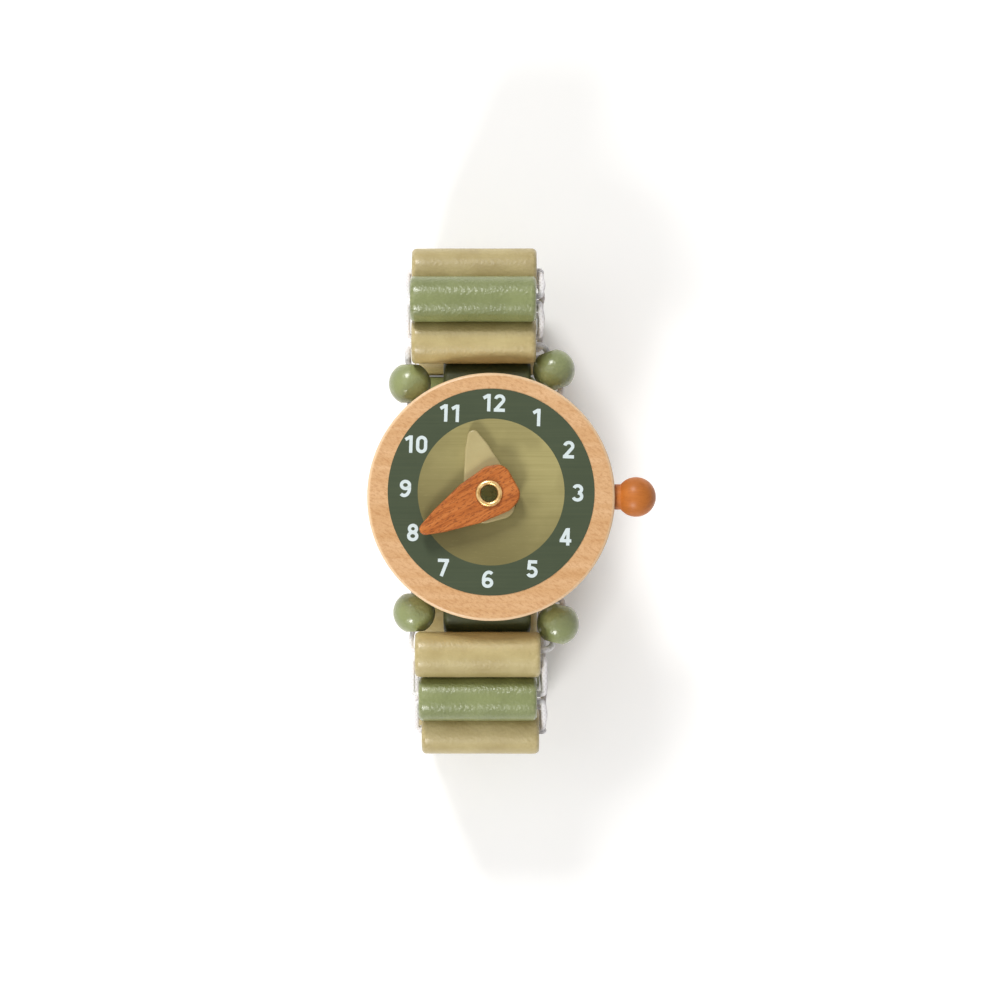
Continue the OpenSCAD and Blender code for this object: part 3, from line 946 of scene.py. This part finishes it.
@dataclass
class DialNumbers:
    """The twelve upright numbers in plain bold strokes, printed on the dark ring."""

    radius: float = 12.8 * MM
    height: float = 2.52 * MM
    width: float = 1.23  # of a digit against its plain shape
    turn: float = 2.0  # of the whole print, clockwise in degrees
    film: float = 0.02 * MM
    stroke: float = 0.19  # in numeral heights, as the gap
    gap: float = 0.2
    set_off: tuple[float, float] = (-0.05 * MM, 0.15 * MM)
    # numbers that are printed a little off their places, in millimetres
    slips: dict[int, tuple[float, float]] = field(default_factory=lambda: {
        1: (-0.17, -0.18), 3: (-0.17, 0.18), 4: (0.0, 0.16), 7: (-0.11, -0.23), 9: (0.41, -0.07)})

    @staticmethod
    def strokes(digit: str) -> list[list[Vector]]:
        """Middle lines of a digit's strokes.

        Args:
            digit: The digit.

        Returns:
            The strokes, in numeral heights.
        """
        six = [bow(0.29, 0.3, 0.19, 0.205, 0, 360),
               bow(0.34, 0.5, 0.24, 0.408, 52, 180) + straight((0.1, 0.36))]
        return {
            "0": [bow(0.28, 0.68, 0.185, 0.228, 0, 180) + bow(0.28, 0.32, 0.185, 0.228, 180, 360)
                  + straight((0.465, 0.68))],
            "1": [straight((0.3, 0.0), (0.3, 1.0)), straight((0.04, 0.75), (0.28, 0.93))],
            "2": [bow(0.28, 0.7, 0.185, 0.207, 172, -30) + straight((0.12, 0.13)),
                  straight((0.02, 0.09), (0.54, 0.09))],
            "3": [bow(0.26, 0.708, 0.18, 0.2, 160, -80), bow(0.26, 0.3, 0.2, 0.207, 84, -160)],
            "4": [straight((0.38, 0.0), (0.38, 1.0)), straight((0.0, 0.27), (0.54, 0.27)),
                  straight((0.34, 0.95), (0.08, 0.29))],
            "5": [straight((0.08, 0.91), (0.5, 0.91)), straight((0.15, 0.95), (0.12, 0.46)),
                  bow(0.26, 0.325, 0.2, 0.235, 132, -152)],
            "6": six,
            "7": [straight((0.02, 0.91), (0.54, 0.91)), straight((0.46, 0.9), (0.2, 0.0))],
            "8": [bow(0.28, 0.715, 0.165, 0.192, 0, 360), bow(0.28, 0.295, 0.19, 0.205, 0, 360)],
            "9": [[Vector((0.56, 1.0)) - point for point in stroke] for stroke in six],
        }[digit]

    def ribbon(self, path: list[Vector]) -> list[list[Vector]]:
        """The quads of one stroke at its full width.

        Args:
            path: Its middle line, closed if it ends where it starts.

        Returns:
            The corners of each quad.
        """
        closed = (path[0] - path[-1]).length < CLOSE
        edges = []
        for k, point in enumerate(path):
            before = path[-2] if closed and k == 0 else path[max(k - 1, 0)]
            after = path[1] if closed and k == len(path) - 1 else path[min(k + 1, len(path) - 1)]
            way = (after - before).normalized()
            out = Vector((-way.y, way.x)) * self.stroke / 2
            edges.append((point + out, point - out))
        return [[a[0], a[1], b[1], b[0]] for a, b in zip(edges, edges[1:])]

    def build(self, finish: Material) -> None:
        """Prints the numbers, some a little off their places.

        Args:
            finish: The material.
        """
        low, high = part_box("dial_ring_paint")
        for hour in range(1, 13):
            angle = math.radians(90 - 30 * hour - self.turn)
            slip = Vector((*self.slips.get(hour, (0.0, 0.0)), 0.0)) * MM
            spot = Vector(((low.x + high.x) / 2 + self.set_off[0] + self.radius * math.cos(angle),
                           (low.y + high.y) / 2 + self.set_off[1] + self.radius * math.sin(angle),
                           high.z))
            self.print_number(hour, spot + slip, finish)

    def print_number(self, hour: int, spot: Vector, finish: Material) -> None:
        """Prints one number as a single film.

        Args:
            hour: The number.
            spot: Its middle, on the paint.
            finish: The material.
        """
        quads: list[list[Vector]] = []
        pen = 0.0
        for digit in str(hour):
            wide = [[Vector((self.width * point.x, point.y)) for point in stroke]
                    for stroke in self.strokes(digit)]
            parts = [quad for stroke in wide for quad in self.ribbon(stroke)]
            left = min(corner.x for quad in parts for corner in quad)
            shift = Vector((pen - left, 0.0))
            quads += [[corner + shift for corner in quad] for quad in parts]
            pen = max(corner.x for quad in quads for corner in quad) + self.gap
        corners = [corner for quad in quads for corner in quad]
        faces = [list(range(4 * k, 4 * k + 4)) for k in range(len(quads))]
        points, _, cells, _, _, origins = delaunay_2d_cdt(corners, [], faces, 1, 1e-6)
        mesh = bmesh.new()
        verts = [mesh.verts.new((point.x, point.y, 0.0)) for point in points]
        for cell, origin in zip(cells, origins):
            if origin:
                mesh.faces.new([verts[k] for k in cell])
        bmesh.ops.delete(mesh, geom=[v for v in mesh.verts if not v.link_faces], context="VERTS")
        raised = bmesh.ops.extrude_face_region(mesh, geom=mesh.faces[:])["geom"]
        bmesh.ops.translate(mesh, vec=(0.0, 0.0, 1.0), verts=only(raised, bmesh.types.BMVert))
        shape = (Matrix.Translation(spot) @ Matrix.Rotation(math.radians(-self.turn), 4, "Z")
                 @ Matrix.Diagonal((self.height, self.height, self.film, 1.0))
                 @ Matrix.Translation((-(pen - self.gap) / 2, -0.5, 0.0)))
        bmesh.ops.transform(mesh, matrix=shape, verts=mesh.verts)
        piece = new_piece(f"number_{hour:02d}", mesh, finish)
        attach(piece, ROOT)


@dataclass
class Elastic:
    """The white braided elastic that laces the beads, in the links of the model."""

    beads: list[Turned]
    balls: list[BallBead]
    finish: Material
    radius: float = CORD / 2
    strand_reach: float = 0.73 * CORD  # of a strand from the middle of a tube bead's bore
    bend: float = 0.6 * CORD
    loop_reach: float = 0.65 * CORD  # of a loop beyond the mouths, on the crown's side
    taut_share: float = 0.6  # of that reach, on the other side
    bulge: float = 0.28 * MM
    hug_reach: float = BALL_RADIUS + 0.65 * CORD
    turn_reach: float = BALL_MOUTH + 0.8 * CORD
    mouth_slip: float = 0.6 * MM
    link_slack: float = 1.3 * MM  # of a link at each bead that doesn't stretch
    lap: float = 0.62  # share of the closing link that each of its two lengths covers
    slim: float = 0.92  # of the second length's radius
    steps: int = 6
    sides: int = 20
    ring_step: float = 0.16 * MM
    relief: float = 0.02 * MM
    crest: float = 0.9  # height of the weave, from 0 to 1, that lies at the radius
    tight: float = 0.78  # of the radius, on the side away from the crown

    def link_way(self, index: int) -> Vector:
        """Way from one bead of the loop to the next, square to the beads' axes."""
        step = self.beads[index + 1].centre - self.beads[index].centre
        return Vector((0.0, step.y, step.z)).normalized()

    def across(self, index: int) -> Vector:
        """Way across the strap at a bead, out of the loop."""
        along = (self.link_way(index - 1) + self.link_way(index)).normalized()
        return along.cross(X_WAY).normalized()

    def bore_strand(self, index: int, side: int, start: Vector, stop: Vector) -> list[Vector]:
        """A strand from the middle of a bore to its mouth, a quarter turn round the other strand.

        Args:
            index: The bead.
            side: Side of the mouth.
            start: Way of its offset in the middle.
            stop: Way of its offset at the mouth.

        Returns:
            Its points.
        """
        bead = self.beads[index]
        points = []
        for step in range(self.steps + 1):
            angle = math.pi / 2 * step / self.steps
            offset = (math.cos(angle) * start + math.sin(angle) * stop).normalized()
            run = (bead.mouth(side) - side * self.bend - bead.centre.x) * step / self.steps
            points.append(bead.on_axis(bead.centre.x + run) + self.strand_reach * offset)
        return points

    def loop(self, index: int, side: int) -> list[Vector]:
        """A loop of elastic on one side, from the middle of a bead to that of the next.

        Args:
            index: The first bead.
            side: The side.

        Returns:
            Its points.
        """
        way = self.link_way(index)
        out = side * X_WAY
        chance = random.Random(100 + 2 * index + side)
        bulge = chance.uniform(0.0, self.bulge) if side > 0 and index != OPEN_LINK else 0.0
        first, second = self.beads[index], self.beads[index + 1]
        reach = self.loop_reach if side > 0 else self.taut_share * self.loop_reach
        run = side * (max(side * first.mouth(side), side * second.mouth(side)) + reach)
        start = first.on_axis(run) + self.strand_reach * way
        stop = second.on_axis(run) - self.strand_reach * way
        angles = [math.pi / 2 * k / self.steps for k in range(self.steps + 1)]
        rise = [start + self.bend * ((math.sin(a) - 1) * out + (1 - math.cos(a)) * way)
                for a in angles]
        fall = [stop + self.bend * ((math.sin(a) - 1) * out - (1 - math.cos(a)) * way)
                for a in reversed(angles)]
        shares = [k / 8 for k in range(1, 8)]
        middle = [rise[-1].lerp(fall[0], share) + math.sin(math.pi * share) ** 2 * bulge * out
                  for share in shares]
        return (self.bore_strand(index, side, side * self.across(index), way) + rise + middle + fall
                + self.bore_strand(index + 1, side, -side * self.across(index + 1), -way)[::-1])

    def lug_run(self, ball: BallBead, side: int, end: int) -> list[Vector]:
        """The elastic out of a lug bar, through a ball bead and into the strap bead beside it.

        Args:
            ball: The ball bead.
            side: Its side.
            end: 1 for the upper lug bar and -1 for the lower.

        Returns:
            Its points.
        """
        out = side * X_WAY
        lug, bead = (0, 1) if end > 0 else (BEAD_COUNT + 1, BEAD_COUNT)
        bar, first = self.beads[lug], self.beads[bead]
        mouth = bar.on_axis(bar.mouth(side)) - Vector((0.0, end * self.mouth_slip, 0.0))
        way = end * self.link_way(min(lug, bead))
        loop = first.on_axis(first.mouth(side)) - self.strand_reach * way + self.loop_reach * out
        turn = ball.centre + self.turn_reach * ball.way
        turn.x = side * max(side * turn.x, side * loop.x)
        facing = (mouth - ball.centre).normalized()
        round_ball = [ball.centre + self.hug_reach * ((1 - s) * facing - s * ball.way).normalized()
                      for s in (0.1, 0.4, 0.7)]
        through = [ball.centre + s * self.turn_reach * ball.way for s in (-1.0, -0.5, 0.5)]
        inside = bar.on_axis(mouth.x - 2 * self.radius * side)
        strand = self.bore_strand(bead, side, -end * side * self.across(bead), -way)[::-1]
        return self.soften([inside, mouth] + round_ball + through + [turn, loop] + strand, 3)

    @staticmethod
    def soften(points: list[Vector], passes: int) -> list[Vector]:
        """Cuts the corners of a run, and keeps its ends.

        Args:
            points: The run.
            passes: How often.

        Returns:
            The softened run.
        """
        for _ in range(passes):
            cut = [a.lerp(b, share) for a, b in zip(points, points[1:]) for share in (0.25, 0.75)]
            points = [points[0]] + cut + [points[-1]]
        return points

    def even_spots(self, path: list[Vector]) -> tuple[list[Vector], float]:
        """Spreads the rings of a tube evenly along its path.

        Args:
            path: The path.

        Returns:
            The middle of each ring, and the length of the path.
        """
        lengths = [0.0]
        for a, b in zip(path, path[1:]):
            lengths.append(lengths[-1] + (b - a).length)
        rings = max(8, round(lengths[-1] / self.ring_step))
        spots, at = [], 0
        for ring in range(rings + 1):
            goal = lengths[-1] * ring / rings
            while at < len(path) - 2 and lengths[at + 1] < goal:
                at += 1
            share = (goal - lengths[at]) / max(1e-9, lengths[at + 1] - lengths[at])
            spots.append(path[at].lerp(path[at + 1], share))
        return spots, lengths[-1]

    @staticmethod
    def untwisted(spots: list[Vector]) -> list[tuple[Vector, Vector]]:
        """Two ways across the cord at each ring, which don't twist along it.

        Args:
            spots: The middle of each ring.

        Returns:
            The two ways, square to the cord and to each other.
        """
        last = len(spots) - 1
        ways = [(spots[min(k + 1, last)] - spots[max(k - 1, 0)]).normalized()
                for k in range(last + 1)]
        side = ways[0].orthogonal().normalized()
        pairs = []
        for way in ways:
            side = (side - side.dot(way) * way).normalized()
            pairs.append((side.copy(), way.cross(side)))
        return pairs

    def add_tube(self, mesh: Shape, path: list[Vector], thin: float) -> None:
        """Adds a closed braided tube along a path.

        Args:
            mesh: The shape it is added to, with the UV map of the cord.
            path: The path.
            thin: Share of the full radius.
        """
        spots, length = self.even_spots(path)
        pairs = self.untwisted(spots)
        rings = len(spots) - 1
        uv = mesh.loops.layers.uv["cord"]
        grid = bmesh.ops.create_grid(mesh, x_segments=rings, y_segments=self.sides, size=0.5)
        for vert in grid["verts"]:
            ring = round((vert.co.x + 0.5) * rings)
            turn = round((vert.co.y + 0.5) * self.sides)
            along = length * ring / rings / MM
            angle = math.tau * turn / self.sides
            lead, lag = BRAID_CARRIERS * turn / self.sides, BRAID_LAY * along
            weave = max(abs(math.sin(math.pi * wave)) for wave in (lead + lag, lead - lag))
            reach = thin * (self.radius + self.relief * (weave - self.crest))
            first, second = pairs[ring]
            vert.co = spots[ring] + reach * (math.cos(angle) * first + math.sin(angle) * second)
            for corner in vert.link_loops:
                corner[uv].uv = (turn / self.sides, along)
        bmesh.ops.remove_doubles(mesh, verts=grid["verts"], dist=1e-7)
        ends = [e for e in mesh.edges if e.is_boundary]
        bmesh.ops.holes_fill(mesh, edges=ends, sides=0)

    def piece(self, name: str, paths: list[list[Vector]], thin: float = 1.0) -> Piece:
        """One link's tubes as a single piece, pulled thinner on the side away from the crown.

        Args:
            name: Its name.
            paths: The paths of its tubes.
            thin: Share of the full radius.

        Returns:
            The piece.
        """
        mesh = bmesh.new()
        mesh.loops.layers.uv.new("cord")
        for path in paths:
            pulled = self.tight if max(point.x for point in path) < 0 else 1.0
            self.add_tube(mesh, path, thin * pulled)
        piece = new_piece(name, mesh, self.finish, 80.0)
        return piece

    def build(self) -> None:
        """Laces the whole strap."""
        for index in range(1, BEAD_COUNT):
            name = f"elastic_link_{index:02d}"
            loops = [self.loop(index, side) for side in (-1, 1)]
            if index == OPEN_LINK:
                self.open_link(name, loops)
                continue
            link = self.piece(f"{name}_braided", loops)
            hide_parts(name)
            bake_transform(link)
        self.lug_links()

    def open_link(self, name: str, loops: list[list[Vector]]) -> None:
        """The link where the two chains meet: two lengths that slide along each other.

        Args:
            name: The link's name.
            loops: Its two loops.
        """
        # the second length is a little thinner, so that it lies inside the first where they lap
        for bead, thin, turned in ((OPEN_LINK, 1.0, False), (OPEN_LINK + 1, self.slim, True)):
            runs = [loop[::-1] if turned else loop for loop in loops]
            halves = [run[:round(len(run) * self.lap)] for run in runs]
            half = self.piece(f"{name}_braided_{bead}", halves, thin)
            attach(half, self.beads[bead].body)
            if not turned:
                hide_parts(name)

    def lug_links(self) -> None:
        """The elastic at the two lug bars."""
        runs = [self.lug_run(ball, side, end)
                for ball, side, end in zip(self.balls, (1, -1, 1, -1), (1, 1, -1, -1))]
        upper = self.piece("elastic_link_00_braided", [runs[0][::-1] + runs[1]])
        lower = self.piece("elastic_link_19_braided", [runs[2], runs[3]])
        for link, name, bead, start, end in (
                (upper, "elastic_link_00", 1, 20.75, 21.5),
                (lower, "elastic_link_19", BEAD_COUNT, -21.85, -22.6)):
            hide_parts(name)
            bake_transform(link)


@dataclass
class Studio:
    """Plain pale floor, soft lamps and the photograph's view from straight above."""

    frame_width: float = 145.0 * MM
    distance: float = 0.65
    target: tuple[float, float, float] = (1.59 * MM, -0.95 * MM, 6.08 * MM)
    zenith: float = 0.42
    horizon_fade: tuple[float, float] = (0.15, 0.85)
    floor_glow: float = 0.2

    def camera(self) -> None:
        """Sets the camera."""
        data = bpy.data.cameras.new("camera")
        data.sensor_width = 36.0
        data.lens = data.sensor_width * self.distance / self.frame_width
        data.clip_start = 0.01
        camera = bpy.data.objects.new("camera", data)
        camera.location = Vector(self.target) + Vector((0.0, 0.0, self.distance))
        bpy.context.scene.collection.objects.link(camera)
        bpy.context.scene.camera = camera

    def floor(self) -> None:
        """Lays the pale floor."""
        mesh = bmesh.new()
        bmesh.ops.create_grid(mesh, x_segments=2, y_segments=2, size=2.0,
                              matrix=Matrix.Translation((0.0, 0.0, cad_box[0][2])))
        desk = ShaderDesk("pale_floor")
        clouds = desk.noise(desk.place(), 0.01, 2.0)
        colour = desk.ramp(clouds, [(0.3, srgb(243, 242, 240)), (0.7, srgb(247, 246, 245))])
        desk.finish({"Base Color": colour, "Roughness": 0.9, "Specular IOR Level": 0.0,
                     "Emission Color": (1.0, 0.99, 0.975),
                     "Emission Strength": desk.sums("MULTIPLY", desk.seen_ray(), self.floor_glow)})
        floor = new_piece("floor", mesh, desk.material)

    def world(self) -> None:
        """Sets the soft light from overhead, which fades towards the horizon."""
        world = bpy.data.worlds.new("studio")
        bpy.context.scene.world = world
        world.use_nodes = True
        desk = NodeDesk(world.node_tree)
        way = desk.put("ShaderNodeSeparateXYZ", {
            0: desk.put("ShaderNodeTexCoord").outputs["Generated"]})
        glow = desk.band(way.outputs["Z"], *self.horizon_fade, 0.0, self.zenith)
        background = desk.tree.nodes["Background"]
        desk.feed(background, "Color", (1.0, 1.0, 1.0))
        desk.feed(background, "Strength", desk.band(desk.seen_ray(), 0.0, 1.0, glow))

    def lamp(self, name: str, place: Sequence[float], size: Sequence[float], power: float) -> None:
        """Hangs a soft lamp that faces the watch.

        Args:
            name: Its name.
            place: Where it hangs.
            size: Its width and height.
            power: Its power in watts.
        """
        data = bpy.data.lights.new(name, "AREA")
        data.shape = "RECTANGLE"
        data.size, data.size_y = size
        data.energy = power
        lamp = bpy.data.objects.new(name, data)
        lamp.location = place
        lamp.rotation_euler = Vector(place).to_track_quat("Z", "Y").to_euler()
        bpy.context.scene.collection.objects.link(lamp)

    def build(self) -> None:
        """Sets up floor and light."""
        self.floor()
        self.world()
        self.lamp("key_lamp", (-0.36, 0.1, 0.7), (0.4, 0.4), 0.5)
        self.lamp("top_lamp", (-0.21, 0.6, 0.54), (0.2, 0.26), 4.7)
        self.lamp("low_lamp", (-0.21, -0.58, 0.48), (0.2, 0.22), 3.8)
        bpy.context.scene.view_settings.view_transform = "Standard"


def main() -> None:
    """Builds the whole watch."""
    studio = Studio()
    studio.camera()
    finishes = Finishes()
    strap = [f"strap_bead_{index:02d}" for index in range(1, BEAD_COUNT + 1)]
    beads: list[Turned] = []
    for index, node in enumerate(["lug_bar_upper", *strap, "lug_bar_lower"]):
        # the lug bars take the sage darkened as painted shade
        paint = (PaintColour.DEEP if node not in strap
                 else PaintColour.KHAKI if index % 2 else PaintColour.SAGE)
        beads.append(TubeBead(node, node if node in strap else ROOT, paint, seed=index))
    # the balls take the sage that is painted lighter, as painted light
    balls = [BallBead(node, node, PaintColour.BALL) for node in (
        "ball_bead_upper_right", "ball_bead_upper_left",
        "ball_bead_lower_right", "ball_bead_lower_left")]
    for bead in beads + balls:
        bead.build(finishes)
    WoodenHand("hour_hand", reach=9.5 * MM, half_width=3.55 * MM, heading=HOUR_HEADING).build(
        finishes.hour, "khaki_hand")
    WoodenHand("minute_hand", reach=11.4 * MM, half_width=3.6 * MM, heading=MINUTE_HEADING).build(
        finishes.minute, "orange_wood")
    DialNumbers().build(finishes.numbers)
    Elastic(beads, balls, finishes.elastic).build()
    for node, finish in (
            ("beech_face", finishes.beech), ("dial_ring_paint", finishes.ring),
            ("dial_middle_paint", finishes.middle), ("crown", finishes.crown),
            ("eyelet_rivet", finishes.brass), ("back_washer", finishes.brass),
            ("elastic_knot", finishes.elastic)):
        dress_node(node, finish)
    studio.build()


if __name__ == "__main__":
    logging.basicConfig(level=logging.INFO, format="%(message)s")
    main()
